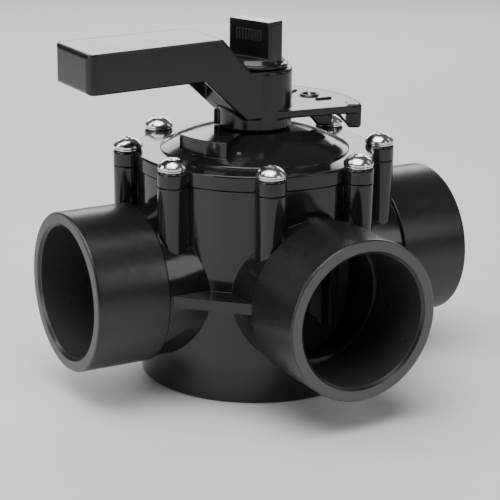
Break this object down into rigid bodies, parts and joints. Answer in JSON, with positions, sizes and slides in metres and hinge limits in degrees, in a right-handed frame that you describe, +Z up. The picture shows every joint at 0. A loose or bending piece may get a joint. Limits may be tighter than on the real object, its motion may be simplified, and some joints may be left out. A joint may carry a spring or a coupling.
{
  "type": "three way valve",
  "caption": "Three port plastic diverter valve with screwed domed cover, hollow lever handle with pointer fan, lock knob and pipe sockets at right angles.",
  "frame": {"origin": "centre of the flat underside, on the stem axis", "axes": "+Z up the stem; +X along the straight run, towards the port that the rotor closes at rest; -Y out of the branch port"},
  "size_m": [0.195, 0.1588, 0.1672],
  "materials": {
    "body_plastic": "satin to gloss moulded black",
    "cover_plastic": "glossy moulded black",
    "handle_plastic": "satin moulded black",
    "knob_plastic": "glossy moulded black",
    "rotor_plastic": "matte moulded black",
    "bearing_plastic": "natural acetal",
    "rubber": "greased black rubber",
    "screw_steel": "bright stainless steel",
    "brass": "machined brass"
  },
  "bodies": {
    "housing": {"valve_body": "body_plastic", "cover": "cover_plastic", "cover_oring": "rubber", "cover_screws": "screw_steel", "screw_washers": "screw_steel", "boss_inserts": "brass", "pivot_bushing": "bearing_plastic", "lower_thrust_washer": "bearing_plastic", "stem_bushing": "bearing_plastic"},
    "rotor": {"diverter": "rotor_plastic", "diverter_seal": "rubber", "upper_thrust_washer": "bearing_plastic", "stem_oring_lower": "rubber", "stem_oring_upper": "rubber", "stem_insert": "brass", "handle": "handle_plastic", "knob_lock_washer": "screw_steel"},
    "clamp_washer": {"knob_washer": "screw_steel"},
    "knob": {"lock_knob": "knob_plastic", "knob_stud": "screw_steel"}
  },
  "joints": [
    {"name": "valve_turn", "type": "hinge", "parent": "housing", "child": "rotor", "pos_m": [0, 0, 0.0508], "axis": [0, 0, 1], "range_deg": [-122, 180]},
    {"name": "knob_lift", "type": "slide", "parent": "rotor", "child": "clamp_washer", "axis": [0, 0, 1], "range_m": [0, 0.00751]},
    {"name": "knob_turn", "type": "hinge", "parent": "clamp_washer", "child": "knob", "pos_m": [0, 0, 0.15], "axis": [0, 0, 1], "range_deg": [0, 2160]}
  ],
  "couplings": [
    {"joint": "knob_lift", "follows": "knob_turn", "m_per_rad": 0.00019894}
  ]
}
